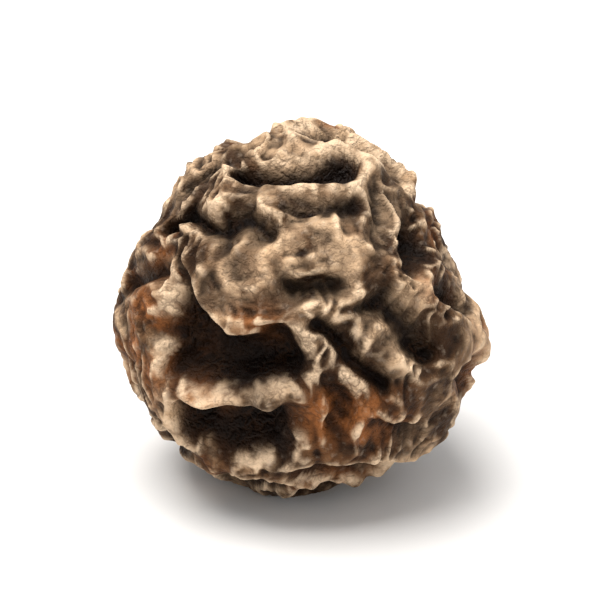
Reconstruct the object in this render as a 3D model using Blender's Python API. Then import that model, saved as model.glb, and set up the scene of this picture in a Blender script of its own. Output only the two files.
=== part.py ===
"""Black peppercorn: one dried corn, its skin shrunk into deep folds, resting on a small flat spot.

The corn is one solid. A cube cut into a fine grid is rounded to a ball, and a formula moves each of
its points: a slightly lopsided ball, less the depth of the hollows between the ridges of the skin.
Sizes in the formula are in millimetres; the finished mesh is in metres, +Z up, with its origin
under the middle of the corn, on the surface that it rests on. The shown face looks along -Y and up.
"""

import math

import bmesh
import bpy
import numpy as np

METRES_PER_MM = 0.001

# Size of the corn before the skin is folded, in millimetres
HALF_WIDTH = 2.62
HALF_DEPTH = 2.51
HALF_HEIGHT = 2.64
MEAN_RADIUS = 2.6

# Flat spot that the corn rests on
REST_DEPTH = 2.42
REST_CLEAR_RADIUS = 0.75
REST_FADE_RADIUS = 1.30

# Cells along each edge of the cube that becomes the ball. Each of its points is the mean of a ring
# of places round it, so many cells away, counted from a direction that no point lies along
GRID_CELLS = 30
RING_PLACES = 8
RING_CELLS = 0.32
RING_START = np.array([0.31, 0.52, 0.79])

# How far above level the shown face looks
FACE_TILT = math.radians(22)
FACE_RIGHT = np.array([1.0, 0.0, 0.0])
FACE_UP = np.array([0.0, math.sin(FACE_TILT), math.cos(FACE_TILT)])
FACE_OUT = np.array([0.0, -math.cos(FACE_TILT), math.sin(FACE_TILT)])

# Broad swells and flats of the ball: (right, up, out) of their middle, height, spread in radians
SWELLS = {
    "flat above the right shoulder": ((1.9, 1.5, 1.0), -0.12, 0.55),
    "flat of the right shoulder": ((2.2, 0.85, 0.6), -0.42, 0.42),
    "bulge at the lower right": ((2.5, -0.9, 0.4), 0.07, 0.50),
    "flat at the upper left": ((-2.2, 1.6, 0.3), -0.14, 0.50),
    "crown": ((-1.0, 2.3, 0.6), 0.05, 0.40),
    "belly": ((-0.6, -2.3, 0.8), 0.05, 0.50),
}

# Furrows of the shown face: depth, reach to each side, half width of the ridge round it, width of
# its wall, and the line that it follows as (right, up) on the face
FURROWS = {
    "top slit": (0.48, 0.34, 0.00, 0.15, ((-0.62, 1.86), (0.45, 1.84))),
    "second slit": (0.32, 0.25, 0.00, 0.14, ((-0.05, 1.34), (0.62, 1.32))),
    "third slit": (0.38, 0.26, 0.00, 0.15, ((-0.12, 0.45), (0.58, 0.45))),
    "upright slit": (0.28, 0.23, 0.00, 0.14, ((0.99, 1.62), (1.02, 0.95))),
    "upper left bend": (
        0.44, 0.26, 0.00, 0.15,
        ((-1.96, 1.08), (-1.56, 1.12), (-1.18, 0.90), (-0.85, 0.82), (-0.49, 1.12)),
    ),
    "crease over the top left lobe": (0.22, 0.22, 0.00, 0.13, ((-1.72, 1.62), (-1.22, 1.88))),
    "great hollow": (
        0.78, 0.60, 0.03, 0.20,
        ((-1.80, 0.02), (-1.48, -0.25), (-1.38, -0.58), (-0.85, -0.70), (-0.10, -0.78), (-0.20, -0.40)),
    ),
    "hollow under it": (0.68, 0.56, 0.02, 0.20, ((-1.22, -1.62), (-0.80, -1.60), (-0.38, -1.56))),
    "left nick": (0.34, 0.27, 0.00, 0.15, ((-2.45, 0.38), (-2.12, 0.42))),
    "left hollow": (0.42, 0.36, 0.03, 0.17, ((-2.42, -0.95), (-2.22, -1.35))),
    "slanting furrow": (
        0.46, 0.25, 0.00, 0.15,
        ((0.38, -0.22), (0.66, -0.45), (1.00, -0.77), (1.30, -1.00)),
    ),
    "furrow beside it": (
        0.45, 0.24, 0.00, 0.15,
        ((1.05, 0.10), (1.30, -0.19), (1.60, -0.45), (1.87, -0.63)),
    ),
    "right hollow": (0.38, 0.30, 0.00, 0.16, ((1.98, 0.28), (2.30, 0.02))),
    "shoulder hollow": (0.46, 0.42, 0.00, 0.18, ((1.75, 1.15), (1.62, 0.70))),
    "low pit": (0.38, 0.28, 0.00, 0.15, ((0.50, -1.20), (0.27, -1.48))),
    "low furrow": (0.32, 0.28, 0.00, 0.15, ((0.85, -1.55), (1.50, -1.62))),
    "low right pit": (0.42, 0.34, 0.00, 0.16, ((2.25, -1.00), (2.18, -1.35))),
    "chin": (0.52, 0.50, 0.00, 0.20, ((0.35, -2.18), (1.05, -2.15))),
    "left chin": (0.44, 0.50, 0.00, 0.20, ((-1.15, -2.28), (-0.45, -2.42))),
}

# Low waves of the ball: height, wavelength in ball radii, seed
BALL_WAVES = ((0.03, 1.6, 51), (0.035, 0.6, 61))

# Round scar of the stalk, on the back: (right, up, out) of its middle
SCAR_WAY = (0.5, 1.0, -2.3)
SCAR_RADIUS = 0.36
SCAR_DEPTH = 0.12
SCAR_LIP_HEIGHT = 0.07
SCAR_LIP_WIDTH = 0.13

# Folds of the rest of the skin
FOLD_SEED = 5
FOLD_COUNT = 104
FOLD_SCATTER = 0.11
FOLD_CLEARANCE = 0.62
FACE_SHARE = 0.62
JOIN_CHANCE = 0.5
MOST_JOINED = 3
JOIN_DISTANCE = 1.35
SHORT_FOLD_HALF = 0.06
FOLD_DEPTHS = (0.34, 0.66)
FOLD_REACHES = (0.7, 1.4)
FOLD_RIDGES = (0.0, 0.03)
FOLD_WALLS = (0.15, 0.22)

# Small folds that cross the ridges
SMALL_FOLD_SEED = 21
SMALL_FOLD_COUNT = 300
SMALL_FOLD_SCATTER = 0.06
SMALL_JOIN_CHANCE = 0.62
SMALL_MOST_JOINED = 5
SMALL_JOIN_DISTANCE = 0.95
SMALL_FOLD_WALL = 0.11
SMALL_FOLD_DEPTHS = (0.04, 0.14)
SMALL_FOLD_IN_HOLLOWS = 0.25
RIDGE_DEPTH = 0.30

# Waves that stir where the folds run, and the sideways lean of the ridges: how far in ball radii
# or millimetres, wavelength in ball radii, seed
MAIN_STIR = ((0.045, 0.75, 11), (0.014, 0.28, 31))
SMALL_STIR = ((0.06, 0.42, 131), (0.02, 0.2, 141))
RIDGE_LEAN = (0.09, 1.1, 101)

SKIN_COLOUR = (0.115, 0.072, 0.043, 1.0)
SKIN_ROUGHNESS = 0.62


def unit(vectors):
    return vectors / np.linalg.norm(vectors, axis=-1, keepdims=True)


def smooth_step(share):
    share = np.clip(share, 0.0, 1.0)
    return share * share * (3.0 - 2.0 * share)


def waves(points, wavelength, seed, count=24):
    """Sum of plane waves in seeded directions, about 1 high, at one wavelength in ball radii."""
    rng = np.random.default_rng(seed)
    ways = unit(rng.normal(size=(count, 3))) * (2.0 * math.pi / wavelength)
    phases = rng.uniform(0.0, 2.0 * math.pi, count)
    return np.sin(points @ ways.T + phases).sum(axis=1) * math.sqrt(2.0 / count)


def wander(points, wavelength, seed):
    """Three such sums, as a shift along each axis."""
    return np.stack([waves(points, wavelength, seed + axis) for axis in range(3)], axis=1)


def stirred(ways, stir):
    """Unit directions moved a little by waves, so that what is drawn on them wanders."""
    return unit(ways + sum(far * wander(ways, wavelength, seed) for far, wavelength, seed in stir))


def face_way(right, up, out):
    """Unit direction of a place given along the shown face's own axes."""
    return unit(right * FACE_RIGHT + up * FACE_UP + out * FACE_OUT)


def on_face(right, up):
    """Unit direction of a point of the shown face, (right, up) of its middle."""
    out = math.sqrt(max(0.0, MEAN_RADIUS**2 - right**2 - up**2))
    return face_way(right, up, out)


def spread_over_ball(count, scatter, rng):
    """Unit directions spread evenly along a spiral from pole to pole, each moved a little."""
    steps = np.arange(count) + 0.5
    height = 1.0 - 2.0 * steps / count
    turn = math.pi * (1.0 + math.sqrt(5.0)) * steps
    across = np.sqrt(1.0 - height**2)
    even = np.stack([across * np.cos(turn), across * np.sin(turn), height], axis=1)
    return unit(even + rng.normal(scale=scatter, size=(count, 3)))


def joined_lines(points, chance, most, within, rng):
    """Points taken in turn, some led on to their nearest free neighbours, as lists of points."""
    free = list(range(len(points)))
    lines = []
    while free:
        line = [free.pop(0)]
        while free and len(line) < most and rng.random() < chance:
            gaps = np.linalg.norm(points[free] - points[line[-1]], axis=1) * MEAN_RADIUS
            nearest = int(gaps.argmin())
            if gaps[nearest] > within:
                break
            line.append(free.pop(nearest))
        lines.append(points[line])
    return lines


def lengthened(line, rng):
    """A line of one point drawn out to a short stretch."""
    if len(line) > 1:
        return line
    side = unit(np.cross(line[0], rng.normal(size=3)))
    return unit(np.stack([line[0] - SHORT_FOLD_HALF * side, line[0] + SHORT_FOLD_HALF * side]))


def distance_to_line(points, line):
    """Millimetres from each point of the unit ball to a line of straight stretches."""
    nearest = np.linalg.norm(points - line[0], axis=1)
    for start, end in zip(line[:-1], line[1:]):
        along = end - start
        share = np.clip((points - start) @ along / (along @ along), 0.0, 1.0)
        nearest = np.minimum(nearest, np.linalg.norm(points - start - share[:, None] * along, axis=1))
    return nearest * MEAN_RADIUS


def nearest_lines(points, lines):
    """Which line is nearest to each point, and the distances to it and to the next one."""
    first = np.full(len(points), np.inf)
    second = np.full(len(points), np.inf)
    owner = np.zeros(len(points), dtype=int)
    for index, line in enumerate(lines):
        distance = distance_to_line(points, line)
        nearer = distance < first
        second = np.where(nearer, first, np.minimum(second, distance))
        first = np.where(nearer, distance, first)
        owner = np.where(nearer, index, owner)
    return owner, first, second


def dent(share):
    """A wall that falls from a rounded ridge to a flat floor: 0 at the ridge, 1 on the floor."""
    return 1.0 - np.exp(-(np.clip(share, 0.0, None) ** 2))


def all_folds():
    """Lines of the main folds with their depth, reach, ridge and wall, the shown face's first."""
    rng = np.random.default_rng(FOLD_SEED)
    lines = []
    sizes = []
    for depth, reach, ridge, wall, line in FURROWS.values():
        lines.append(np.array([on_face(right, up) for right, up in line]))
        sizes.append((depth, reach, ridge, wall))
    loose = spread_over_ball(FOLD_COUNT, FOLD_SCATTER, rng)
    clear = nearest_lines(loose, lines)[1] > FOLD_CLEARANCE
    loose = loose[clear & (loose @ FACE_OUT < FACE_SHARE)]
    for line in joined_lines(loose, JOIN_CHANCE, MOST_JOINED, JOIN_DISTANCE, rng):
        lines.append(lengthened(line, rng))
        sizes.append([rng.uniform(*span) for span in (FOLD_DEPTHS, FOLD_REACHES, FOLD_RIDGES, FOLD_WALLS)])
    return lines, np.array(sizes)


def main_depth(points):
    """Depth of the main folds: each hollow keeps clear of the ridge halfway to the next one."""
    lines, sizes = all_folds()
    owner, first, second = nearest_lines(points, lines)
    depth, reach, ridge, wall = sizes[owner].T
    inside = np.minimum((second - first) / 2.0 - ridge, reach - first)
    return depth * dent(inside / wall)


def small_depth(points):
    """Depth of the net of small folds."""
    rng = np.random.default_rng(SMALL_FOLD_SEED)
    seeds = spread_over_ball(SMALL_FOLD_COUNT, SMALL_FOLD_SCATTER, rng)
    lines = joined_lines(seeds, SMALL_JOIN_CHANCE, SMALL_MOST_JOINED, SMALL_JOIN_DISTANCE, rng)
    owner, first, second = nearest_lines(points, lines)
    depth = rng.uniform(*SMALL_FOLD_DEPTHS, len(lines))[owner]
    return depth * dent((second - first) / 2.0 / SMALL_FOLD_WALL)


def ball_radius(ways):
    """Radius of the corn before the skin is folded: an egg-like ball with swells and low waves."""
    halves = np.array([HALF_WIDTH, HALF_DEPTH, HALF_HEIGHT])
    radius = 1.0 / np.sqrt(((ways / halves) ** 2).sum(axis=1))
    for middle, height, spread in SWELLS.values():
        angle = np.arccos(np.clip(ways @ face_way(*middle), -1.0, 1.0))
        radius += height * np.exp(-((angle / spread) ** 2))
    for height, wavelength, seed in BALL_WAVES:
        radius += height * waves(ways, wavelength, seed)
    return radius


def scar_height(ways):
    """Height of the stalk's scar: a round sunk floor inside a low lip."""
    away = np.arccos(np.clip(ways @ face_way(*SCAR_WAY), -1.0, 1.0)) * MEAN_RADIUS
    floor = -SCAR_DEPTH * smooth_step((SCAR_RADIUS - away) / SCAR_LIP_WIDTH)
    lip = SCAR_LIP_HEIGHT * np.exp(-(((away - SCAR_RADIUS) / SCAR_LIP_WIDTH) ** 2))
    return floor + lip


def calm_share(ways):
    """How much of the folds is left: none on the flat spot and inside the scar, all elsewhere."""
    off_axis = np.hypot(ways[:, 0], ways[:, 1]) * MEAN_RADIUS
    off_axis = np.where(ways[:, 2] < 0.0, off_axis, np.inf)
    spot = smooth_step((off_axis - REST_CLEAR_RADIUS) / (REST_FADE_RADIUS - REST_CLEAR_RADIUS))
    away = np.arccos(np.clip(ways @ face_way(*SCAR_WAY), -1.0, 1.0)) * MEAN_RADIUS
    return spot * smooth_step((away - SCAR_RADIUS) / SCAR_RADIUS)


def skin_points(ways):
    """Points of the folded skin, in millimetres, for unit directions from the corn's middle."""
    calm = calm_share(ways)
    main = main_depth(stirred(ways, MAIN_STIR)) * calm
    on_ridge = np.clip(1.0 - main / RIDGE_DEPTH, 0.0, 1.0)
    small_share = SMALL_FOLD_IN_HOLLOWS + (1.0 - SMALL_FOLD_IN_HOLLOWS) * on_ridge
    small = small_depth(stirred(ways, SMALL_STIR)) * small_share * calm
    radius = ball_radius(ways) + scar_height(ways) - main - small
    far, wavelength, seed = RIDGE_LEAN
    lean = far * wander(ways, wavelength, seed)
    lean -= (lean * ways).sum(axis=1, keepdims=True) * ways
    points = radius[:, None] * ways + lean * (on_ridge * calm)[:, None]
    points[:, 2] = np.maximum(points[:, 2], -REST_DEPTH)
    return points


def settled_points(ways):
    """Each point as the mean of the skin at its own place and at a ring of places close round it."""
    cell = math.pi / 2.0 / GRID_CELLS
    side = unit(np.cross(ways, RING_START))
    other = np.cross(ways, side)
    total = skin_points(ways)
    for angle in np.arange(RING_PLACES) * (2.0 * math.pi / RING_PLACES):
        step = math.cos(angle) * side + math.sin(angle) * other
        total += skin_points(unit(ways + RING_CELLS * cell * step))
    return total / (RING_PLACES + 1)


def ball_ways(corners):
    """Unit directions for the corners of a grid on the cube from -1 to 1, at nearly even angles."""
    return unit(np.tan(np.clip(corners, -1.0, 1.0) * math.pi / 4.0))


def stood_on_origin(points):
    """The points moved so that their box stands on the ground, centred on the origin."""
    low = points.min(axis=0)
    high = points.max(axis=0)
    return points - np.array([(low[0] + high[0]) / 2.0, (low[1] + high[1]) / 2.0, low[2]])


def skin_material():
    """Dark brown, matt dried skin."""
    material = bpy.data.materials.new("dried skin")
    material.use_nodes = True
    shader = material.node_tree.nodes["Principled BSDF"]
    shader.inputs["Base Color"].default_value = SKIN_COLOUR
    shader.inputs["Roughness"].default_value = SKIN_ROUGHNESS
    shader.inputs["Metallic"].default_value = 0.0
    material.diffuse_color = SKIN_COLOUR
    return material


def peppercorn(collection):
    """The corn: a cube's grid rounded to a ball and folded by the formula."""
    grid = bmesh.new()
    bmesh.ops.create_cube(grid, size=2.0)
    bmesh.ops.subdivide_edges(grid, edges=grid.edges[:], cuts=GRID_CELLS - 1, use_grid_fill=True)
    corners = np.array([vertex.co for vertex in grid.verts])
    points = stood_on_origin(settled_points(ball_ways(corners))) * METRES_PER_MM
    for vertex, point in zip(grid.verts, points):
        vertex.co = point
    bmesh.ops.triangulate(grid, faces=grid.faces[:], quad_method="SHORT_EDGE")
    bmesh.ops.recalc_face_normals(grid, faces=grid.faces[:])
    mesh = bpy.data.meshes.new("peppercorn")
    grid.to_mesh(mesh)
    grid.free()
    mesh.shade_smooth()
    mesh.materials.append(skin_material())
    corn = bpy.data.objects.new("peppercorn", mesh)
    collection.objects.link(corn)
    return corn


def clear_scene():
    for old in list(bpy.data.objects):
        bpy.data.objects.remove(old)


def main():
    clear_scene()
    collection = bpy.data.collections.new("black peppercorn")
    bpy.context.scene.collection.children.link(collection)
    peppercorn(collection)


main()
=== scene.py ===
"""Looks of one dried black peppercorn: its finely wrinkled skin, a plain pale floor and soft light.

The skin is one closed numpy surface. Six square grids, one for each side of a cube, are rounded to a
ball, and every point moves along its own direction by a formula: a lopsided ball, less the depth of
three nets of folds, coarse, small and fine. The coarse and small nets are those of the solid corn.
Lengths in the formula are in millimetres, and the mesh is in metres.
"""

import logging
import math
from dataclasses import dataclass, field
from enum import Enum

import bpy
import numpy as np
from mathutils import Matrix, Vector


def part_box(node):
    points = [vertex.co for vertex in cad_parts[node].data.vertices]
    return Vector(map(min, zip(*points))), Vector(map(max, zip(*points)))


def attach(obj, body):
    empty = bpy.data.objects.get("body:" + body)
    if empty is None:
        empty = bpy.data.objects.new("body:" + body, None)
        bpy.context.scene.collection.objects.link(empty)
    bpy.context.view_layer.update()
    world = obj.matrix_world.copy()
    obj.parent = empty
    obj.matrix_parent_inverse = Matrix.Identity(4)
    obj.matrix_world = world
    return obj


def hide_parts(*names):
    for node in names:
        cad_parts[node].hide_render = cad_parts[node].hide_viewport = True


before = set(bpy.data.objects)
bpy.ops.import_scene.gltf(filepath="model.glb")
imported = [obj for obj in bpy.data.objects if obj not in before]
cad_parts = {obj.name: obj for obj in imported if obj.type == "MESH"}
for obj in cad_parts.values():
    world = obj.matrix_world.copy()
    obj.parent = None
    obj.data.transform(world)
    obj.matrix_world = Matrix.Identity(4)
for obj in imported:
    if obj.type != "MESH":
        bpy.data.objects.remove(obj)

log = logging.getLogger("peppercorn")

NODE = "peppercorn"
BODY = "root"
METRES_PER_MM = 0.001
MEAN_RADIUS = 2.6
PLACES_PER_RADIUS = 1e6
CAMERA_TILT = math.radians(22.0)

Colour = tuple[float, float, float]
Place = tuple[float, float]
Way = tuple[float, float, float]
Socket = bpy.types.NodeSocket

# Height or shift of seeded waves, their length in ball radii, and their seed
WaveSet = tuple[float, float, int]


class Mask(Enum):
    """Vertex attributes that the skin's finish reads."""

    # How shallow the folds are: the deep ones are painted near black, partly as painted shade.
    RIDGE = "ridge"
    # Crest tops: lightened partly as dust, partly as painted highlight.
    CREST_DUST_AND_HIGHLIGHT = "crest_dust_and_highlight"
    # Painted highlight along the rims of the folds.
    RIM_HIGHLIGHT = "edge"
    # Painted shade in the small creases.
    CREASE_SHADE = "crease"
    # Painted highlights on the shown face, and pale blotches of the skin on the rest.
    PALE_AND_HIGHLIGHT = "pale"
    WARM = "warm"
    SCAR = "scar"


def unit(vectors: np.ndarray) -> np.ndarray:
    """The directions of vectors given in rows: each is divided by its length."""
    return vectors / np.linalg.norm(vectors, axis=-1, keepdims=True)


def smooth_step(share: np.ndarray) -> np.ndarray:
    """A soft step: 0 below 0, 1 above 1, and s * s * (3 - 2 * s) between."""
    share = np.clip(share, 0.0, 1.0)
    return share * share * (3.0 - 2.0 * share)


def bell(distance: np.ndarray, spread: float | np.ndarray) -> np.ndarray:
    """A bell curve, 1 high in its middle: exp(-(distance / spread) squared)."""
    return np.exp(-((distance / spread) ** 2))


def mixed(least: float, share: np.ndarray) -> np.ndarray:
    """From the least value at share 0 up to 1 at share 1, in a straight line."""
    return least + (1.0 - least) * share


def waves(points: np.ndarray, wavelength: float, seed: int, count: int = 24) -> np.ndarray:
    """Sum of plane sine waves in seeded directions and phases, about 1 high.

    Args:
        points: Points near the unit ball.
        wavelength: Length of each wave, in ball radii.
        seed: Seed of the random draw.
        count: How many waves are summed.

    Returns:
        The height of the sum at each point.
    """
    rng = np.random.default_rng(seed)
    ways = unit(rng.normal(size=(count, 3))) * (2.0 * math.pi / wavelength)
    phases = rng.uniform(0.0, 2.0 * math.pi, count)
    return np.sin(points @ ways.T + phases).sum(axis=1) * math.sqrt(2.0 / count)


def wander(points: np.ndarray, wavelength: float, seed: int) -> np.ndarray:
    """Three such sums, as a shift along each axis.

    Args:
        points: Points near the unit ball.
        wavelength: Length of each wave, in ball radii.
        seed: Seed of the first draw.

    Returns:
        One shift for each point.
    """
    return np.stack([waves(points, wavelength, seed + axis) for axis in range(3)], axis=1)


def spread_over_ball(count: int, scatter: float, rng: np.random.Generator) -> np.ndarray:
    """Directions spread evenly along a spiral from pole to pole, each moved a little.

    Args:
        count: How many directions.
        scatter: How far each is moved, in ball radii.
        rng: The seeded draw.

    Returns:
        Unit directions, in rows.
    """
    steps = np.arange(count) + 0.5
    height = 1.0 - 2.0 * steps / count
    turn = math.pi * (1.0 + math.sqrt(5.0)) * steps
    across = np.sqrt(1.0 - height**2)
    even = np.stack([across * np.cos(turn), across * np.sin(turn), height], axis=1)
    return unit(even + rng.normal(scale=scatter, size=(count, 3)))


def joined_lines(
    points: np.ndarray, chance: float, most: int, within: float, rng: np.random.Generator
) -> list[np.ndarray]:
    """Points taken in turn, some led on to their nearest free neighbour, as lines.

    Args:
        points: Unit directions, in rows.
        chance: Chance that a line goes on by one more point.
        most: Most points in a line.
        within: Furthest neighbour that a line goes on to, in millimetres.
        rng: The seeded draw.

    Returns:
        Lines, each an array of unit directions.
    """
    free = list(range(len(points)))
    lines = []
    while free:
        line = [free.pop(0)]
        while free and len(line) < most and rng.random() < chance:
            gaps = np.linalg.norm(points[free] - points[line[-1]], axis=1) * MEAN_RADIUS
            nearest = int(gaps.argmin())
            if gaps[nearest] > within:
                break
            line.append(free.pop(nearest))
        lines.append(points[line])
    return lines


def distance_to_line(points: np.ndarray, line: np.ndarray) -> np.ndarray:
    """Distance from each point of the ball to the nearest straight stretch of a line.

    Args:
        points: Points near the unit ball.
        line: The line's corners.

    Returns:
        Distances in millimetres.
    """
    nearest = np.linalg.norm(points - line[0], axis=1)
    for start, end in zip(line[:-1], line[1:]):
        along = end - start
        share = np.clip((points - start) @ along / (along @ along), 0.0, 1.0)
        nearest = np.minimum(nearest, np.linalg.norm(points - start - share[:, None] * along, axis=1))
    return nearest * MEAN_RADIUS


def nearest_lines(
    points: np.ndarray, lines: list[np.ndarray]
) -> tuple[np.ndarray, np.ndarray, np.ndarray]:
    """Which line is nearest to each point, with the distances to it and to the next one.

    Args:
        points: Points near the unit ball.
        lines: Lines as arrays of corners.

    Returns:
        The nearest line's index, its distance and the second distance, in millimetres.
    """
    first = np.full(len(points), np.inf)
    second = np.full(len(points), np.inf)
    owner = np.zeros(len(points), dtype=int)
    for index, line in enumerate(lines):
        distance = distance_to_line(points, line)
        nearer = distance < first
        second = np.where(nearer, first, np.minimum(second, distance))
        first = np.where(nearer, distance, first)
        owner = np.where(nearer, index, owner)
    return owner, first, second


def levelled(heights: np.ndarray, faces: np.ndarray, rounds: int) -> np.ndarray:
    """Heights averaged over the faces round each point, so many times over.

    Args:
        heights: One height for each point.
        faces: Rows of four point indices.
        rounds: How many rounds, so how wide the surroundings are.

    Returns:
        The mean height of each point's surroundings.
    """
    corners = faces.ravel()
    uses = np.bincount(corners, minlength=len(heights))
    for _ in range(rounds):
        means = np.repeat(heights[faces].mean(axis=1), faces.shape[1])
        heights = np.bincount(corners, means, len(heights)) / uses
    return heights


def placed(name: str, data: bpy.types.ID) -> bpy.types.Object:
    """A new object in the scene.

    Args:
        name: Its name.
        data: Its mesh, light or camera.

    Returns:
        The object, at the origin.
    """
    thing = bpy.data.objects.new(name, data)
    bpy.context.scene.collection.objects.link(thing)
    return thing


@dataclass(frozen=True)
class ShownFace:
    """The face that the camera looks at, with its own right, up and out."""

    tilt: float = CAMERA_TILT

    def way(self, right: float, up: float, out: float) -> np.ndarray:
        """Unit direction of a place given along the face's own axes.

        Args:
            right: Share to the right.
            up: Share up the face.
            out: Share towards the camera.

        Returns:
            The direction in the corn's own axes.
        """
        sine, cosine = math.sin(self.tilt), math.cos(self.tilt)
        return unit(np.array([right, up * sine - out * cosine, up * cosine + out * sine]))

    def point(self, right: float, up: float) -> np.ndarray:
        """Unit direction of a point of the face.

        Args:
            right: Millimetres to the right of the face's middle.
            up: Millimetres above it.

        Returns:
            The direction in the corn's own axes.
        """
        out = math.sqrt(max(0.0, MEAN_RADIUS**2 - right**2 - up**2))
        return self.way(right, up, out)


@dataclass(frozen=True)
class Furrow:
    """A fold placed on the shown face, with its sizes in millimetres."""

    depth: float
    reach: float
    ridge: float
    wall: float
    line: tuple[Place, ...]


FACE = ShownFace()

FURROWS = {
    "top slit": Furrow(0.48, 0.34, 0.00, 0.15, ((-0.62, 1.86), (0.45, 1.84))),
    "second slit": Furrow(0.32, 0.25, 0.00, 0.14, ((-0.05, 1.34), (0.62, 1.32))),
    "third slit": Furrow(0.38, 0.26, 0.00, 0.15, ((-0.12, 0.45), (0.58, 0.45))),
    "upright slit": Furrow(0.28, 0.23, 0.00, 0.14, ((0.99, 1.62), (1.02, 0.95))),
    "upper left bend": Furrow(
        0.44, 0.26, 0.00, 0.15,
        ((-1.96, 1.08), (-1.56, 1.12), (-1.18, 0.90), (-0.85, 0.82), (-0.49, 1.12)),
    ),
    "crease over the top left lobe": Furrow(0.22, 0.22, 0.00, 0.13, ((-1.72, 1.62), (-1.22, 1.88))),
    "great hollow": Furrow(
        0.78, 0.60, 0.03, 0.20,
        (
            (-1.80, 0.02), (-1.48, -0.25), (-1.38, -0.58),
            (-0.85, -0.70), (-0.10, -0.78), (-0.20, -0.40),
        ),
    ),
    "hollow under it": Furrow(
        0.68, 0.56, 0.02, 0.20, ((-1.22, -1.62), (-0.80, -1.60), (-0.38, -1.56))
    ),
    "left nick": Furrow(0.34, 0.27, 0.00, 0.15, ((-2.45, 0.38), (-2.12, 0.42))),
    "left hollow": Furrow(0.42, 0.36, 0.03, 0.17, ((-2.42, -0.95), (-2.22, -1.35))),
    "slanting furrow": Furrow(
        0.46, 0.25, 0.00, 0.15,
        ((0.38, -0.22), (0.66, -0.45), (1.00, -0.77), (1.30, -1.00)),
    ),
    "furrow beside it": Furrow(
        0.45, 0.24, 0.00, 0.15,
        ((1.05, 0.10), (1.30, -0.19), (1.60, -0.45), (1.87, -0.63)),
    ),
    "right hollow": Furrow(0.38, 0.30, 0.00, 0.16, ((1.98, 0.28), (2.30, 0.02))),
    "shoulder hollow": Furrow(0.46, 0.42, 0.00, 0.18, ((1.75, 1.15), (1.62, 0.70))),
    "low pit": Furrow(0.38, 0.28, 0.00, 0.15, ((0.50, -1.20), (0.27, -1.48))),
    "low furrow": Furrow(0.32, 0.28, 0.00, 0.15, ((0.85, -1.55), (1.50, -1.62))),
    "low right pit": Furrow(0.42, 0.34, 0.00, 0.16, ((2.25, -1.00), (2.18, -1.35))),
    "chin": Furrow(0.52, 0.50, 0.00, 0.20, ((0.35, -2.18), (1.05, -2.15))),
    "left chin": Furrow(0.44, 0.50, 0.00, 0.20, ((-1.15, -2.28), (-0.45, -2.42))),
}


@dataclass(frozen=True)
class Patch:
    """A patch of other colour on the shown face, its place and spread in millimetres."""

    right: float
    up: float
    spread: float
    share: float = 1.0


# Painted highlights on the shown face: the ridges and knuckles where the light glints.
PAINTED_HIGHLIGHT_PATCHES = {
    "saddle between the slits": Patch(0.10, 0.90, 0.62, 2.2),
    "rim above the top slit": Patch(-0.05, 2.22, 0.50, 1.5),
    "upright ridge": Patch(1.22, 1.52, 0.28, 2.4),
    "foot of the upright ridge": Patch(1.26, 1.12, 0.28, 2.4),
    "top left lobe": Patch(-0.98, 1.35, 0.45, 1.2),
    "left knuckle": Patch(-1.78, 0.43, 0.28, 1.6),
    "knuckle over the hollow": Patch(-0.93, 0.35, 0.36, 1.4),
    "middle ridge": Patch(0.10, -0.30, 0.30, 1.2),
    "ridge between the furrows": Patch(1.00, -0.25, 0.35, 1.8),
    "end of that ridge": Patch(1.45, -0.62, 0.28, 1.6),
    "right shoulder ridge": Patch(1.55, 0.15, 0.32, 1.8),
    "right rim": Patch(2.35, -0.40, 0.32, 1.2),
    "lower right ridge": Patch(2.00, -1.15, 0.30, 0.7),
    "low ridge": Patch(1.60, -2.10, 0.35, 0.6),
    "foot of the left rim": Patch(-1.85, -1.30, 0.28, 1.0),
}

WARM_PATCHES = {
    "left rim": Patch(-2.20, -0.35, 0.55, 1.4),
    "upper left band": Patch(-1.90, 0.75, 0.40, 0.7),
    "bump in the hollow": Patch(-0.60, -0.15, 0.35, 0.7),
    "spot under the hollow": Patch(-1.45, -1.38, 0.32, 1.6),
    "low pit": Patch(0.30, -1.45, 0.38, 1.4),
    "low patch": Patch(0.90, -1.60, 0.50, 1.4),
    "floor beside the right ridge": Patch(1.80, 0.30, 0.26, 1.2),
}

# Where the painted highlights of crests and rims are taken down.
HIGHLIGHT_DIMMING_PATCHES = {
    "sill between the hollows": Patch(-0.85, -1.12, 0.50, 0.65),
    "right end of the sill": Patch(-0.30, -1.10, 0.30, 0.50),
}


def named_share(ways: np.ndarray, named: dict[str, Patch]) -> np.ndarray:
    """Share of the shown face's own patches: the highest of their bell curves, 1 at most.

    Args:
        ways: Unit directions.
        named: The patches.

    Returns:
        A share from 0 to 1.
    """
    share = np.zeros(len(ways))
    for patch in named.values():
        away = np.linalg.norm(ways - FACE.point(patch.right, patch.up), axis=1) * MEAN_RADIUS
        share = np.maximum(share, np.minimum(patch.share * bell(away, patch.spread), 1.0))
    return share


@dataclass(frozen=True)
class PatchyColour:
    """Where a patchy colour shows: the shown face's own patches, and seeded blotches on the rest.

    The blotches are the tops of long waves with shorter ones on them, between a low and a high
    level. They fade in where the skin turns away from the camera.
    """

    seed: int
    most: float
    long: float = 0.8
    short: float = 0.3
    short_height: float = 0.4
    low: float = 0.25
    high: float = 1.15
    turned: float = 0.55
    fade: float = 0.25

    def share(self, ways: np.ndarray, named: dict[str, Patch]) -> np.ndarray:
        """The larger of the named patches' share and the blotches' share.

        Args:
            ways: Unit directions.
            named: The shown face's own patches.

        Returns:
            A share from 0 to 1.
        """
        behind = smooth_step((self.turned - ways @ FACE.way(0.0, 0.0, 1.0)) / self.fade)
        tops = waves(ways, self.long, self.seed)
        tops += self.short_height * waves(ways, self.short, self.seed + 1)
        drawn = smooth_step((tops - self.low) / (self.high - self.low))
        return np.maximum(named_share(ways, named), self.most * drawn * behind)


@dataclass(frozen=True)
class Swell:
    """A broad rise or flat of the ball."""

    middle: Way
    height: float
    spread: float


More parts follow.
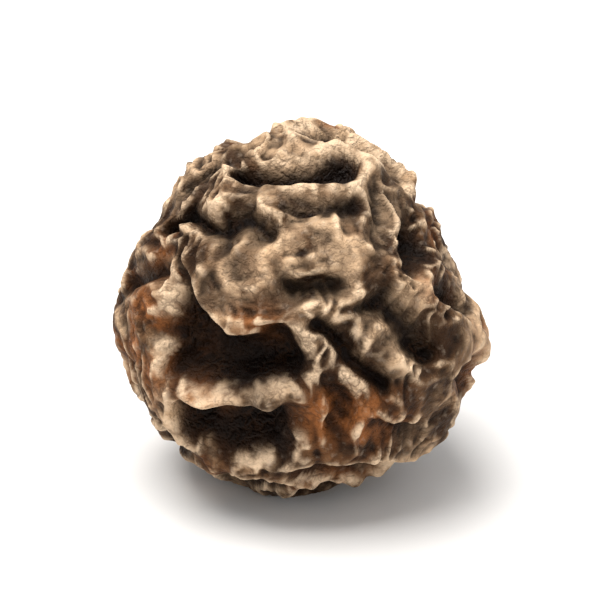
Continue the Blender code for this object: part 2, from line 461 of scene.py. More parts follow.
SWELLS = {
    "flat above the right shoulder": Swell((1.9, 1.5, 1.0), -0.12, 0.55),
    "flat of the right shoulder": Swell((2.2, 0.85, 0.6), -0.42, 0.42),
    "bulge at the lower right": Swell((2.5, -0.9, 0.4), 0.07, 0.50),
    "flat at the upper left": Swell((-2.2, 1.6, 0.3), -0.14, 0.50),
    "crown": Swell((-1.0, 2.3, 0.6), 0.05, 0.40),
    "belly": Swell((-0.6, -2.3, 0.8), 0.05, 0.50),
}


@dataclass(frozen=True)
class Stir:
    """Low waves that move places sideways, so that the folds read there wander."""

    sets: tuple[WaveSet, ...]

    def shift(self, ways: np.ndarray) -> np.ndarray:
        """The sum of each set's shift times its waves along the three axes.

        Args:
            ways: Unit directions.

        Returns:
            One shift for each direction.
        """
        total = np.zeros_like(ways)
        for shift, wavelength, seed in self.sets:
            total += shift * wander(ways, wavelength, seed)
        return total


@dataclass(frozen=True)
class StandOut:
    """How far a point stands out of the mean of its surroundings, with heights in millimetres."""

    rounds: int
    start: float
    full: float

    def share(self, radius: np.ndarray, faces: np.ndarray) -> np.ndarray:
        """A straight rise from 0 at the start height above the surroundings to 1 at the full one."""
        above = radius - levelled(radius, faces, self.rounds)
        return np.clip((above - self.start) / (self.full - self.start), 0.0, 1.0)


@dataclass(frozen=True)
class FoldNet:
    """A net of ridges round hollows, drawn from seeded points over the whole ball."""

    seed: int
    count: int
    scatter: float
    join_chance: float
    most_joined: int
    join_distance: float
    wall: float
    shallowest: float
    deepest: float

    def depth(self, points: np.ndarray) -> np.ndarray:
        """Depth of the net: d * (1 - exp(-(e / wall) squared)), with e from the nearest ridge.

        Args:
            points: Points near the unit ball.

        Returns:
            The depth in millimetres.
        """
        rng = np.random.default_rng(self.seed)
        seeds = spread_over_ball(self.count, self.scatter, rng)
        lines = joined_lines(seeds, self.join_chance, self.most_joined, self.join_distance, rng)
        owner, first, second = nearest_lines(points, lines)
        depth = rng.uniform(self.shallowest, self.deepest, len(lines))[owner]
        return depth * (1.0 - bell((second - first) / 2.0, self.wall))


@dataclass(frozen=True)
class MainFolds:
    """The coarse folds: the shown face's own furrows, and drawn ones over the rest."""

    seed: int = 5
    count: int = 104
    scatter: float = 0.11
    clearance: float = 0.62
    face_share: float = 0.62
    join_chance: float = 0.5
    most_joined: int = 3
    join_distance: float = 1.35
    short_half: float = 0.06
    depths: Place = (0.34, 0.66)
    reaches: Place = (0.7, 1.4)
    ridges: Place = (0.0, 0.03)
    walls: Place = (0.15, 0.22)

    def lengthened(self, line: np.ndarray, rng: np.random.Generator) -> np.ndarray:
        """A line of one point drawn out to a short stretch.

        Args:
            line: The line's corners.
            rng: The seeded draw.

        Returns:
            A line of two corners or more.
        """
        if len(line) > 1:
            return line
        side = unit(np.cross(line[0], rng.normal(size=3))) * self.short_half
        return unit(np.stack([line[0] - side, line[0] + side]))

    def folds(self) -> tuple[list[np.ndarray], np.ndarray]:
        """All coarse folds, the shown face's first.

        Returns:
            Their lines, and rows of depth, reach, ridge and wall in millimetres.
        """
        rng = np.random.default_rng(self.seed)
        lines = []
        sizes = []
        for furrow in FURROWS.values():
            lines.append(np.array([FACE.point(right, up) for right, up in furrow.line]))
            sizes.append((furrow.depth, furrow.reach, furrow.ridge, furrow.wall))
        loose = spread_over_ball(self.count, self.scatter, rng)
        clear = nearest_lines(loose, lines)[1] > self.clearance
        loose = loose[clear & (loose @ FACE.way(0.0, 0.0, 1.0) < self.face_share)]
        for line in joined_lines(loose, self.join_chance, self.most_joined, self.join_distance, rng):
            lines.append(self.lengthened(line, rng))
            spans = (self.depths, self.reaches, self.ridges, self.walls)
            sizes.append([rng.uniform(*span) for span in spans])
        return lines, np.array(sizes)

    def depth(self, points: np.ndarray) -> np.ndarray:
        """Depth of the coarse folds: each falls from the ridge halfway to the next one.

        The depth is d * (1 - exp(-(e / wall) squared)), where e is the smaller of the distance to
        that ridge and the distance to the edge of the fold's reach, and no less than 0.

        Args:
            points: Points near the unit ball.

        Returns:
            The depth in millimetres.
        """
        lines, sizes = self.folds()
        owner, first, second = nearest_lines(points, lines)
        depth, reach, ridge, wall = sizes[owner].T
        edge = np.minimum((second - first) / 2.0 - ridge, reach - first)
        return depth * (1.0 - bell(np.maximum(edge, 0.0), wall))


@dataclass(frozen=True)
class StalkScar:
    """The round scar that the stalk left, low on the back."""

    middle: Way = (0.5, 1.0, -2.3)
    radius: float = 0.36
    depth: float = 0.12
    lip_height: float = 0.07
    lip_width: float = 0.13

    def away(self, ways: np.ndarray) -> np.ndarray:
        """Distance over the ball from the scar's middle, in millimetres."""
        cosine = np.clip(ways @ FACE.way(*self.middle), -1.0, 1.0)
        return np.arccos(cosine) * MEAN_RADIUS

    def height(self, ways: np.ndarray) -> np.ndarray:
        """Height of the scar: a round sunk floor inside a low bell-shaped lip.

        Args:
            ways: Unit directions.

        Returns:
            The height in millimetres, below 0 on the floor.
        """
        away = self.away(ways)
        floor = -self.depth * smooth_step((self.radius - away) / self.lip_width)
        return floor + self.lip_height * bell(away - self.radius, self.lip_width)

    def mask(self, ways: np.ndarray) -> np.ndarray:
        """How much of the scar's own finish shows: 1 inside its lip, 0 outside."""
        return smooth_step((self.radius + self.lip_width - self.away(ways)) / self.lip_width)

    def calm(self, ways: np.ndarray) -> np.ndarray:
        """How much of the folds is left round the scar: none inside it, all one radius away."""
        return smooth_step((self.away(ways) - self.radius) / self.radius)


@dataclass(frozen=True)
class GritFinish:
    """Plain matt white board with a faint tooth, for the floor."""

    name: str = "white_board"
    colour: Colour = (0.76, 0.752, 0.745)
    darker: Colour = (0.73, 0.722, 0.714)
    roughness: float = 0.85
    tooth_per_metre: float = 900.0

    def material(self) -> bpy.types.Material:
        """A new material of this finish.

        Returns:
            The material, its colour moved a little by noise.
        """
        material = bpy.data.materials.new(self.name)
        material.use_nodes = True
        nodes, links = material.node_tree.nodes, material.node_tree.links
        shader = nodes["Principled BSDF"]
        shader.inputs["Roughness"].default_value = self.roughness
        place = nodes.new("ShaderNodeTexCoord")
        tooth = nodes.new("ShaderNodeTexNoise")
        tooth.inputs["Scale"].default_value = self.tooth_per_metre
        mix = nodes.new("ShaderNodeMix")
        mix.data_type = "RGBA"
        mix.inputs["A"].default_value = (*self.colour, 1.0)
        mix.inputs["B"].default_value = (*self.darker, 1.0)
        links.new(place.outputs["Object"], tooth.inputs["Vector"])
        links.new(tooth.outputs["Fac"], mix.inputs["Factor"])
        links.new(mix.outputs["Result"], shader.inputs["Base Color"])
        return material


@dataclass(frozen=True)
class Speckle:
    """Sharpened noise: grains per millimetre, finer noises added, and the levels that give 0 and 1."""

    grains: float
    detail: float
    low: float
    high: float


@dataclass(frozen=True)
class Layer:
    """A colour laid over the skin where a vertex mask and a speckle meet."""

    name: str
    mask: Mask
    colour: Colour
    speckle: Speckle
    most: float


def mask_group(
    name: str, starts: dict[str, float]
) -> tuple[bpy.types.NodeTree, bpy.types.Node, bpy.types.Node]:
    """A shader node group with a Vector input, some number inputs and a Mask output.

    Args:
        name: The group's name.
        starts: What each number input starts at, by its name.

    Returns:
        The group, its entry node and its leaving node.
    """
    tree = bpy.data.node_groups.new(name, "ShaderNodeTree")
    tree.interface.new_socket("Vector", in_out="INPUT", socket_type="NodeSocketVector")
    for label, start in starts.items():
        socket = tree.interface.new_socket(label, in_out="INPUT", socket_type="NodeSocketFloat")
        socket.default_value = start
    tree.interface.new_socket("Mask", in_out="OUTPUT", socket_type="NodeSocketFloat")
    return tree, tree.nodes.new("NodeGroupInput"), tree.nodes.new("NodeGroupOutput")


@dataclass(frozen=True)
class SpeckleGroup:
    """A node group: noise of a size given in grains per millimetre, sharpened between two levels."""

    name: str = "speckle"

    def tree(self) -> bpy.types.NodeTree:
        """The group, made once and then reused.

        Returns:
            A shader node group with inputs Vector, Grains, Detail, Low and High, and output Mask.
        """
        found = bpy.data.node_groups.get(self.name)
        if found:
            return found
        starts = {"Grains": 5.0, "Detail": 2.0, "Low": 0.4, "High": 0.6}
        tree, entry, leave = mask_group(self.name, starts)
        noise = tree.nodes.new("ShaderNodeTexNoise")
        sharpen = tree.nodes.new("ShaderNodeMapRange")
        sharpen.interpolation_type = "SMOOTHSTEP"
        tree.links.new(entry.outputs["Vector"], noise.inputs["Vector"])
        tree.links.new(entry.outputs["Grains"], noise.inputs["Scale"])
        tree.links.new(entry.outputs["Detail"], noise.inputs["Detail"])
        tree.links.new(noise.outputs["Fac"], sharpen.inputs["Value"])
        tree.links.new(entry.outputs["Low"], sharpen.inputs["From Min"])
        tree.links.new(entry.outputs["High"], sharpen.inputs["From Max"])
        tree.links.new(sharpen.outputs["Result"], leave.inputs["Mask"])
        return tree


@dataclass(frozen=True)
class CreaseGroup:
    """A node group: fine bent creases between cells of a size given in grains per millimetre."""

    name: str = "creases"
    bend_grains: float = 9.0
    bend: float = 0.22

    def tree(self) -> bpy.types.NodeTree:
        """The group, made once and then reused.

        Returns:
            A shader node group with inputs Vector, Grains and Width, and output Mask, which is 0 in
            the middle of a crease and 1 away from it.
        """
        found = bpy.data.node_groups.get(self.name)
        if found:
            return found
        tree, entry, leave = mask_group(self.name, {"Grains": 6.0, "Width": 0.2})
        noise = tree.nodes.new("ShaderNodeTexNoise")
        noise.inputs["Scale"].default_value = self.bend_grains
        bent = tree.nodes.new("ShaderNodeVectorMath")
        bent.operation = "MULTIPLY_ADD"
        bent.inputs[1].default_value = (self.bend,) * 3
        cells = tree.nodes.new("ShaderNodeTexVoronoi")
        cells.feature = "DISTANCE_TO_EDGE"
        sharpen = tree.nodes.new("ShaderNodeMapRange")
        sharpen.interpolation_type = "SMOOTHSTEP"
        tree.links.new(entry.outputs["Vector"], noise.inputs["Vector"])
        tree.links.new(noise.outputs["Color"], bent.inputs[0])
        tree.links.new(entry.outputs["Vector"], bent.inputs[2])
        tree.links.new(bent.outputs["Vector"], cells.inputs["Vector"])
        tree.links.new(entry.outputs["Grains"], cells.inputs["Scale"])
        tree.links.new(cells.outputs["Distance"], sharpen.inputs["Value"])
        tree.links.new(entry.outputs["Width"], sharpen.inputs["From Max"])
        tree.links.new(sharpen.outputs["Result"], leave.inputs["Mask"])
        return tree


@dataclass
class SkinNodes:
    """Adds nodes to one material's tree, with places on the corn in millimetres."""

    tree: bpy.types.NodeTree
    millimetres: Socket = field(init=False)

    def __post_init__(self) -> None:
        """Scales the object's own coordinates to millimetres."""
        place = self.tree.nodes.new("ShaderNodeTexCoord")
        scaled = self.tree.nodes.new("ShaderNodeMapping")
        scaled.inputs["Scale"].default_value = (1.0 / METRES_PER_MM,) * 3
        self.tree.links.new(place.outputs["Object"], scaled.inputs["Vector"])
        self.millimetres = scaled.outputs["Vector"]

    def mask(self, which: Mask) -> Socket:
        """One vertex mask.

        Args:
            which: The mask.

        Returns:
            The socket that gives its value.
        """
        reader = self.tree.nodes.new("ShaderNodeAttribute")
        reader.attribute_name = which.value
        return reader.outputs["Fac"]

    def grouped(self, tree: bpy.types.NodeTree, values: dict[str, float]) -> Socket:
        """A node group over the corn's places.

        Args:
            tree: The group, with a Vector input and a Mask output.
            values: Its other inputs by name.

        Returns:
            The socket of its mask.
        """
        group = self.tree.nodes.new("ShaderNodeGroup")
        group.node_tree = tree
        self.tree.links.new(self.millimetres, group.inputs["Vector"])
        for label, value in values.items():
            group.inputs[label].default_value = value
        return group.outputs["Mask"]

    def speckle(self, wanted: Speckle) -> Socket:
        """Sharpened noise.

        Args:
            wanted: Its settings.

        Returns:
            The socket of the mask.
        """
        levels = {"Low": wanted.low, "High": wanted.high}
        values = {"Grains": wanted.grains, "Detail": wanted.detail, **levels}
        return self.grouped(SpeckleGroup().tree(), values)

    def creases(self, grains: float, width: float) -> Socket:
        """Mask of fine creases round so many cells per millimetre, their half width a share of one."""
        return self.grouped(CreaseGroup().tree(), {"Grains": grains, "Width": width})

    def worked(self, kind: str, first: Socket | float, second: Socket | float) -> Socket:
        """A clamped sum, product or difference.

        Args:
            kind: The Math node's operation.
            first: A socket or a number.
            second: A socket or a number.

        Returns:
            The socket of the result, from 0 to 1.
        """
        node = self.tree.nodes.new("ShaderNodeMath")
        node.operation = kind
        node.use_clamp = True
        for socket, value in zip(node.inputs, (first, second)):
            if isinstance(value, float):
                socket.default_value = value
            else:
                self.tree.links.new(value, socket)
        return node.outputs["Value"]

    def over(self, base: Socket, name: str, colour: Colour, share: Socket) -> Socket:
        """A colour laid over what is there.

        Args:
            base: The colour that is there.
            name: Label of the new layer.
            colour: The colour laid over it.
            share: How much of it shows.

        Returns:
            The socket of the blend.
        """
        mix = self.tree.nodes.new("ShaderNodeMix")
        mix.label = name
        mix.data_type = "RGBA"
        mix.inputs["B"].default_value = (*colour, 1.0)
        self.tree.links.new(base, mix.inputs["A"])
        self.tree.links.new(share, mix.inputs["Factor"])
        return mix.outputs["Result"]


@dataclass(frozen=True)
class DriedSkinFinish:
    """Dry wrinkled skin: near black in the hollows, brown on the slopes, tan on the ridges; the near
    black of the deep folds is partly the skin's own dark and partly painted shade.
    """

    name: str = "dried_skin"
    # Near black of the deep folds: partly the skin's own dark, partly painted shade.
    hollow: Colour = (0.005, 0.002, 0.0008)
    slope: Colour = (0.034, 0.014, 0.005)
    ridge: Colour = (0.160, 0.079, 0.035)
    hollow_stop: float = 0.14
    slope_stop: float = 0.74
    fold_share: float = 0.70
    blotch_share: float = 0.30
    blotches: Speckle = Speckle(2.2, 4.0, 0.25, 0.75)
    layers: tuple[Layer, ...] = (
        Layer("warm patches", Mask.WARM, (0.400, 0.135, 0.036), Speckle(1.6, 3.0, 0.30, 0.55), 0.90),
        # Pale tan: painted highlights on the shown face, pale blotches of the skin on the rest.
        Layer("pale_and_painted_highlight_patches", Mask.PALE_AND_HIGHLIGHT, (0.760, 0.515, 0.315), Speckle(2.9, 5.0, 0.30, 0.56), 0.90),
        # Ridge tops lighter: partly dust on the crests, partly painted highlight.
        Layer("ridge_dust_and_painted_highlights", Mask.CREST_DUST_AND_HIGHLIGHT, (0.430, 0.268, 0.145), Speckle(3.4, 4.0, 0.36, 0.60), 0.60),
        # Pale lines along the rims of the folds: painted highlight.
        Layer("painted_rim_highlights", Mask.RIM_HIGHLIGHT, (0.840, 0.615, 0.410), Speckle(4.4, 4.0, 0.30, 0.56), 0.85),
        Layer("dust", Mask.RIDGE, (0.420, 0.330, 0.250), Speckle(9.0, 4.0, 0.54, 0.72), 0.30),
        # Small creases darkened to the hollow colour: painted shade.
        Layer("painted_crease_shade", Mask.CREASE_SHADE, hollow, Speckle(5.0, 2.0, 0.10, 0.40), 0.80),
        Layer("dark specks", Mask.RIDGE, hollow, Speckle(6.0, 3.0, 0.60, 0.72), 0.40),
        Layer("stalk scar", Mask.SCAR, (0.260, 0.190, 0.120), Speckle(7.0, 3.0, 0.20, 0.60), 0.70),
    )
    cells_per_mm: float = 5.5
    crack_width: float = 0.16
    crack_share: float = 0.55
    cracked: Speckle = Speckle(1.8, 3.0, 0.40, 0.62)
    specular: float = 0.12
    rough_hollow: float = 0.50
    rough_ridge: float = 0.68
    grain: tuple[tuple[Speckle, float], ...] = (
        (Speckle(14.0, 5.0, 0.25, 0.75), 0.35),
        (Speckle(38.0, 3.0, 0.30, 0.70), 0.15),
    )
    dip_width: float = 0.30
    dip_share: float = 0.50
    bump_strength: float = 0.9
    bump_metres: float = 0.000045

    def ground(self, kit: SkinNodes) -> Socket:
        """The brown that lies under all: height on the folds, blotched, picks it from a ramp,
        which paints the deep folds near black, partly the skin's own dark and partly painted shade.

        Args:
            kit: The material's nodes.

        Returns:
            The socket of the colour.
        """
        folds = kit.worked("MULTIPLY", kit.mask(Mask.RIDGE), self.fold_share)
        blotches = kit.worked("MULTIPLY", kit.speckle(self.blotches), self.blotch_share)
        ramp = kit.tree.nodes.new("ShaderNodeValToRGB")
        stops = ramp.color_ramp.elements
        stops[0].position, stops[0].color = self.hollow_stop, (*self.hollow, 1.0)
        stops[1].position, stops[1].color = 1.0, (*self.ridge, 1.0)
        stops.new(self.slope_stop).color = (*self.slope, 1.0)
        kit.tree.links.new(kit.worked("ADD", folds, blotches), ramp.inputs["Fac"])
        return ramp.outputs["Color"]

    def colour(self, kit: SkinNodes) -> Socket:
        """The ground with the layers over it in turn, and the skin's fine cracks, dark in places.

        Args:
            kit: The material's nodes.

        Returns:
            The socket of the colour.
        """
        colour = self.ground(kit)
        for layer in self.layers:
            share = kit.worked("MULTIPLY", kit.mask(layer.mask), kit.speckle(layer.speckle))
            share = kit.worked("MULTIPLY", share, layer.most)
            colour = kit.over(colour, layer.name, layer.colour, share)
        cracks = kit.worked("SUBTRACT", 1.0, kit.creases(self.cells_per_mm, self.crack_width))
        share = kit.worked("MULTIPLY", cracks, kit.speckle(self.cracked))
        share = kit.worked("MULTIPLY", share, self.crack_share)
        return kit.over(colour, "fine cracks", self.slope, share)

    def roughness(self, kit: SkinNodes) -> Socket:
        """Roughness, rising in a straight line from the hollows to the ridges.

        Args:
            kit: The material's nodes.

        Returns:
            The socket of the roughness.
        """
        rough = kit.tree.nodes.new("ShaderNodeMapRange")
        rough.inputs["To Min"].default_value = self.rough_hollow
        rough.inputs["To Max"].default_value = self.rough_ridge
        kit.tree.links.new(kit.mask(Mask.RIDGE), rough.inputs["Value"])
        return rough.outputs["Result"]

    def normal(self, kit: SkinNodes) -> Socket:
        """The skin's tooth: two grains of noise, and a dip at each fine crack.

        Args:
            kit: The material's nodes.

        Returns:
            The socket of the bumped normal.
        """
        height = kit.worked("MULTIPLY", kit.creases(self.cells_per_mm, self.dip_width), self.dip_share)
        for speckle, share in self.grain:
            height = kit.worked("ADD", height, kit.worked("MULTIPLY", kit.speckle(speckle), share))
        bump = kit.tree.nodes.new("ShaderNodeBump")
        bump.inputs["Strength"].default_value = self.bump_strength
        bump.inputs["Distance"].default_value = self.bump_metres
        kit.tree.links.new(height, bump.inputs["Height"])
        return bump.outputs["Normal"]

    def material(self) -> bpy.types.Material:
        """A new material of this finish, read from the skin's masks and object coordinates.

        Returns:
            The material.
        """
        material = bpy.data.materials.new(self.name)
        material.use_nodes = True
        kit = SkinNodes(material.node_tree)
        links = material.node_tree.links
        shader = material.node_tree.nodes["Principled BSDF"]
        shader.inputs["Specular IOR Level"].default_value = self.specular
        links.new(self.colour(kit), shader.inputs["Base Color"])
        links.new(self.roughness(kit), shader.inputs["Roughness"])
        links.new(self.normal(kit), shader.inputs["Normal"])
        return material


@dataclass(frozen=True)
class FoldDepths:
    """Depth of each net of folds at every point, in millimetres."""

    main: np.ndarray
    small: np.ndarray
    fine: np.ndarray


@dataclass(frozen=True)
class FoldedSkin:
    """The corn's whole outer skin, as one closed surface in place of the solid corn.

    Lengths are in millimetres. The shares say how much of the smaller folds is left in the hollows
    and on the flats, how dark a fold is painted, partly as painted shade, and how much of the painted
    highlights it keeps.
    """

    name: str = "peppercorn_skin"
    cells: int = 128
    half_width: float = 2.62
    half_depth: float = 2.51
    half_height: float = 2.64
    rest_depth: float = 2.42
    rest_clear: float = 0.75
    rest_fade: float = 1.30
    ball_waves: tuple[WaveSet, ...] = ((0.03, 1.6, 51), (0.035, 0.6, 61))
    ridge_depth: float = 0.30
    rounding: int = 8
    inside_box: float = 0.999
    main: MainFolds = MainFolds()
    small: FoldNet = FoldNet(
        seed=21, count=300, scatter=0.06, join_chance=0.62, most_joined=5, join_distance=0.95,
        wall=0.11, shallowest=0.04, deepest=0.14,
    )
    small_in_hollows: float = 0.25
    fine: FoldNet = FoldNet(
        seed=7, count=900, scatter=0.035, join_chance=0.45, most_joined=4, join_distance=0.5,
        wall=0.055, shallowest=0.02, deepest=0.08,
    )
    fine_in_hollows: float = 0.45
    fine_on_flats: float = 0.30
    main_stir: Stir = Stir(((0.045, 0.75, 11), (0.014, 0.28, 31)))
    small_stir: Stir = Stir(((0.06, 0.42, 131), (0.02, 0.2, 141)))
    fine_stir: Stir = Stir(((0.02, 0.22, 71),))
    ridge_lean: Stir = Stir(((0.09, 1.1, 101),))
    grain: tuple[WaveSet, ...] = ((0.005, 0.09, 81), (0.003, 0.045, 91))
    grain_waves: int = 40
    # How deep a fold must be to be painted fully dark, partly as painted shade, and how much the
    # smaller folds count.
    dark_depth: float = 0.42
    small_darkness: float = 0.80
    fine_darkness: float = 0.60
    # How deep the smaller folds must be, and how far their floors lose the painted highlights.
    dim_depth: float = 0.12
    dimming: float = 0.70
    # Where the skin stands out of its wide surroundings: the crests, lightened partly as dust, partly
    # as painted highlight.
    crest_dust_and_highlight: StandOut = StandOut(40, 0.007, 0.077)
    # Where the skin stands out of its near surroundings: the rims, painted as highlight.
    edge: StandOut = StandOut(18, 0.0175, 0.0525)
    # Where the skin sinks below its nearest surroundings: the creases, painted as shade.
    crease: StandOut = StandOut(5, 0.0, -0.016)
    # Pale share: the shown face's painted highlights, and pale blotches of the skin on the rest.
    pale: PatchyColour = PatchyColour(151, 1.0)
    warm: PatchyColour = PatchyColour(161, 0.5)
    warm_in_hollows: float = 0.35
    scar: StalkScar = StalkScar()
    finish: DriedSkinFinish = DriedSkinFinish()

    def ways_and_faces(self) -> tuple[np.ndarray, np.ndarray]:
        """Directions and square faces of the rounded cube.

        Each side is a grid of two parameters u and v from -45 to 45 degrees. A point of the side is
        (1, tan u, tan v) turned to that side and brought to length 1, so the cells are nearly even.
        Points that two sides share are made one, which closes the seams.

        Returns:
            Unit directions in rows, and faces as rows of four indices that turn outwards.
        """
        steps = np.tan(np.linspace(-math.pi / 4.0, math.pi / 4.0, self.cells + 1))
        u, v = np.meshgrid(steps, steps, indexing="ij")
        one = np.ones_like(u)
        sides = ((one, u, v), (-one, v, u), (v, one, u), (u, -one, v), (u, v, one), (v, u, -one))
        ways = unit(np.concatenate([np.stack(side, axis=-1).reshape(-1, 3) for side in sides]))
        row, column = np.meshgrid(np.arange(self.cells), np.arange(self.cells), indexing="ij")
        corner = (row * (self.cells + 1) + column).ravel()
        ring = (corner, corner + self.cells + 1, corner + self.cells + 2, corner + 1)
        side_faces = np.stack(ring, axis=1)
        faces = np.concatenate([side_faces + side * (self.cells + 1) ** 2 for side in range(6)])
        keys = np.round(ways * PLACES_PER_RADIUS).astype(np.int64)
        _, kept, index = np.unique(keys, axis=0, return_index=True, return_inverse=True)
        return ways[kept], index.reshape(-1)[faces]

    def ball_radius(self, ways: np.ndarray) -> np.ndarray:
        """Radius before folding: an egg-like ball, with bell-shaped swells and low waves.

        Args:
            ways: Unit directions.

        Returns:
            The radius in millimetres.
        """
        halves = np.array([self.half_width, self.half_depth, self.half_height])
        radius = 1.0 / np.sqrt(((ways / halves) ** 2).sum(axis=1))
        for swell in SWELLS.values():
            angle = np.arccos(np.clip(ways @ FACE.way(*swell.middle), -1.0, 1.0))
            radius += swell.height * bell(angle, swell.spread)
        for height, wavelength, seed in self.ball_waves:
            radius += height * waves(ways, wavelength, seed)
        return radius

    def calm(self, ways: np.ndarray) -> np.ndarray:
        """How much of the folds is left: none on the flat spot and in the scar, all elsewhere.

        Args:
            ways: Unit directions.

        Returns:
            A share from 0 to 1.
        """
        off_axis = np.hypot(ways[:, 0], ways[:, 1]) * MEAN_RADIUS
        off_axis = np.where(ways[:, 2] < 0.0, off_axis, np.inf)
        spot = smooth_step((off_axis - self.rest_clear) / (self.rest_fade - self.rest_clear))
        return spot * self.scar.calm(ways)

    def shaped(
        self, ways: np.ndarray, faces: np.ndarray
    ) -> tuple[np.ndarray, dict[Mask, np.ndarray]]:
        """Points of the skin, and its masks.

        A point is its direction times the ball's radius, plus the scar, less the coarse, small and
        fine folds, with the ridges leaning sideways by a slow wave. The folds' places are stirred by
        waves first, so that the ridges wander. What would be under the flat spot is raised to it.

        Args:
            ways: Unit directions.
            faces: Rows of four indices.

        Returns:
            Points in millimetres from the corn's middle, and one array for each mask.
        """
        calm = self.calm(ways)
        warped = unit(ways + self.main_stir.shift(ways))
        main = self.main.depth(warped) * calm
        on_ridge = np.clip(1.0 - main / self.ridge_depth, 0.0, 1.0)
        crossed = unit(ways + self.small_stir.shift(ways))
        small = self.small.depth(crossed) * mixed(self.small_in_hollows, on_ridge) * calm
        curled = unit(warped + self.fine_stir.shift(ways))
        fine = self.fine.depth(curled) * mixed(self.fine_in_hollows, on_ridge)
        fine *= mixed(self.fine_on_flats, calm)
        folded = self.ball_radius(ways) + self.scar.height(ways) - main - small
        radius = levelled(folded, faces, self.rounding) - fine
        for height, wavelength, seed in self.grain:
            radius += height * waves(ways, wavelength, seed, self.grain_waves)
        lean = self.ridge_lean.shift(ways)
        lean -= (lean * ways).sum(axis=1, keepdims=True) * ways
        points = radius[:, None] * ways + lean * (on_ridge * calm)[:, None]
        points[:, 2] = np.maximum(points[:, 2], -self.rest_depth)
        return points, self.masks(ways, faces, radius, FoldDepths(main, small, fine))

    def masks(
        self, ways: np.ndarray, faces: np.ndarray, radius: np.ndarray, depths: FoldDepths
    ) -> dict[Mask, np.ndarray]:
        """How far each colour shows at every point.

        Ridges are where the folds are shallow; the ramp paints the deep folds near black, partly as
        painted shade. Crests, lightened partly as dust and partly as painted highlight, and rims,
        painted highlight, are where the skin stands out of its wide and its near surroundings, and
        creases, painted shade, where it sinks below its nearest ones. The painted highlights are taken
        out of the floors of the smaller folds.

        Args:
            ways: Unit directions.
            faces: Rows of four indices.
            radius: Radius of each point in millimetres.
            depths: Depths of the folds.

        Returns:
            One array of shares for each mask.
        """
        # Shallow folds are ridges; the ramp paints the deep folds near black, partly as painted shade.
        dark = depths.main + self.small_darkness * depths.small
        ridge = np.clip(1.0 - dark / self.dark_depth, 0.0, 1.0)
        dim = np.clip((depths.small + self.fine_darkness * depths.fine) / self.dim_depth, 0.0, 1.0)
        # The painted highlights of crests and pale patches are taken out of the floors of the smaller
        # folds.
        top = 1.0 - self.dimming * dim
        highlight_left = 1.0 - named_share(ways, HIGHLIGHT_DIMMING_PATCHES)
        warm = self.warm.share(ways, WARM_PATCHES) * mixed(self.warm_in_hollows, ridge)
        return {
            Mask.RIDGE: ridge,
            Mask.CREST_DUST_AND_HIGHLIGHT: smooth_step(self.crest_dust_and_highlight.share(radius, faces)) * highlight_left * top,
            Mask.RIM_HIGHLIGHT: smooth_step(self.edge.share(radius, faces)) * highlight_left,
            Mask.CREASE_SHADE: self.crease.share(radius, faces),
            Mask.PALE_AND_HIGHLIGHT: self.pale.share(ways, PAINTED_HIGHLIGHT_PATCHES) * ridge * top,
            Mask.WARM: warm,
            Mask.SCAR: self.scar.mask(ways),
        }

    def fitted(self, points: np.ndarray, low: np.ndarray, high: np.ndarray) -> np.ndarray:
        """The points brought into the solid corn's box, less a hair on every side but the bottom.

        Args:
            points: Points in millimetres.
            low: The box's lowest corner in metres.
            high: Its highest corner in metres.

        Returns:
            Points in metres, where the solid corn is.
        """
        own_low, own_high = points.min(axis=0), points.max(axis=0)
        share = (points - own_low) / (own_high - own_low)
        inset = (high - low) * (1.0 - self.inside_box) / 2.0
        inset_low = np.array([inset[0], inset[1], 0.0])
        return low + inset_low + share * (high - inset - low - inset_low)

    def build(self) -> bpy.types.Object:
        """The skin as a mesh object that rides on the corn's body and replaces its solid.

        Returns:
            The new object.
        """
        ways, faces = self.ways_and_faces()
        points, masks = self.shaped(ways, faces)
        low, high = (np.array(corner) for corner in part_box(NODE))
        points = self.fitted(points, low, high)
        mesh = bpy.data.meshes.new(self.name)
        mesh.from_pydata(points.tolist(), [], faces.tolist())
        mesh.shade_smooth()
        for which, values in masks.items():
            layer = mesh.attributes.new(which.value, "FLOAT", "POINT")
            layer.data.foreach_set("value", values.astype(np.float32))
        mesh.materials.append(self.finish.material())
        piece = placed(self.name, mesh)
        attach(piece, BODY)
        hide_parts(NODE)
        return piece


@dataclass(frozen=True)
class SoftLamp:
    """A square area light that looks at the corn."""

    name: str
    place: Way
    size: float
    watts: float
    colour: Colour = (1.0, 1.0, 1.0)

    def build(self, target: Vector) -> bpy.types.Object:
        """The lamp in the scene.

        Args:
            target: The point that it looks at.

        Returns:
            The lamp's object.
        """
        light = bpy.data.lights.new(self.name, "AREA")
        light.size = self.size
        light.energy = self.watts
        light.color = self.colour
        lamp = placed(self.name, light)
        lamp.location = self.place
        lamp.rotation_euler = (target - Vector(self.place)).to_track_quat("-Z", "Y").to_euler()
        return lamp


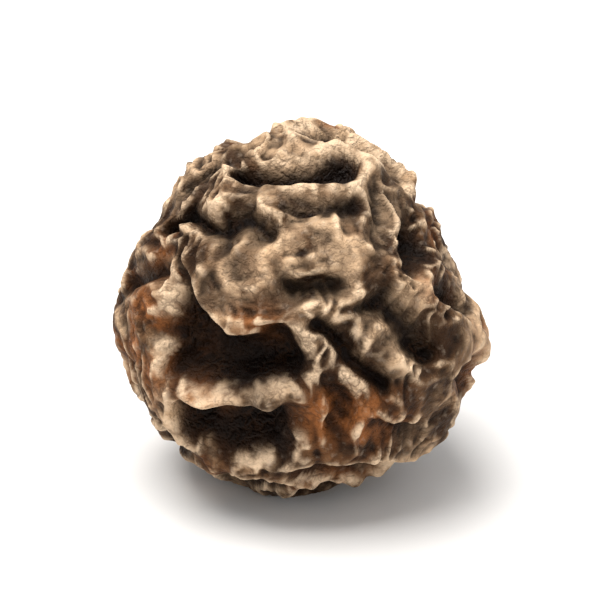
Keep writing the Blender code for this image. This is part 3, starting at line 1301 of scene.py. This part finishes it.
@dataclass(frozen=True)
class Studio:
    """A white floor, soft lamps and the camera at the photograph's angle."""

    floor_half: float = 0.4
    tilt: float = CAMERA_TILT
    lens: float = 100.0
    sensor: float = 36.0
    frame_widths: float = 1.60
    nearest_share: float = 0.05
    sky: float = 0.66
    lamps: tuple[SoftLamp, ...] = (
        SoftLamp("key", (-0.055, -0.015, 0.265), 0.200, 1.15, (1.0, 0.98, 0.95)),
        SoftLamp("fill", (0.200, -0.180, 0.180), 0.200, 0.12),
    )
    board: GritFinish = GritFinish()

    def floor(self) -> bpy.types.Object:
        """The floor, a flat square under the corn.

        Returns:
            The floor's object.
        """
        half = self.floor_half
        mesh = bpy.data.meshes.new("floor")
        corners = [(-half, -half, 0.0), (half, -half, 0.0), (half, half, 0.0), (-half, half, 0.0)]
        mesh.from_pydata(corners, [], [(0, 1, 2, 3)])
        mesh.materials.append(self.board.material())
        floor = placed("floor", mesh)
        return floor

    def sky_light(self) -> None:
        """An even white light from all round."""
        world = bpy.data.worlds.new("sky")
        world.use_nodes = True
        background = world.node_tree.nodes["Background"]
        background.inputs["Color"].default_value = (1.0, 1.0, 1.0, 1.0)
        background.inputs["Strength"].default_value = self.sky
        bpy.context.scene.world = world

    def camera(self, low: Vector, high: Vector) -> bpy.types.Object:
        """The camera, tilted down at the corn and as far off as the frame needs.

        Args:
            low: The corn's lowest corner.
            high: Its highest corner.

        Returns:
            The camera's object.
        """
        middle = (low + high) / 2.0
        back = Vector((0.0, -math.cos(self.tilt), math.sin(self.tilt)))
        distance = (high.x - low.x) * self.frame_widths * self.lens / self.sensor
        lens = bpy.data.cameras.new("camera")
        lens.lens = self.lens
        lens.sensor_width = self.sensor
        lens.clip_start = distance * self.nearest_share
        camera = placed("camera", lens)
        camera.location = middle + back * distance
        camera.rotation_euler = (-back).to_track_quat("-Z", "Y").to_euler()
        bpy.context.scene.camera = camera
        return camera

    def build(self) -> None:
        """The floor, the lights, the camera and a plain view of the colours."""
        low, high = (Vector(corner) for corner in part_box(NODE))
        self.floor()
        self.sky_light()
        for lamp in self.lamps:
            lamp.build((low + high) / 2.0)
        self.camera(low, high)
        bpy.context.scene.view_settings.view_transform = "Standard"


def main() -> None:
    """Builds the corn's skin and the studio."""
    logging.basicConfig(level=logging.INFO)
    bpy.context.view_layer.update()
    piece = FoldedSkin().build()
    log.info("%s: %d points", piece.name, len(piece.data.vertices))
    Studio().build()
    log.info("studio: floor, lamps and camera")
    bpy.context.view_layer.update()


if __name__ == "__main__":
    main()
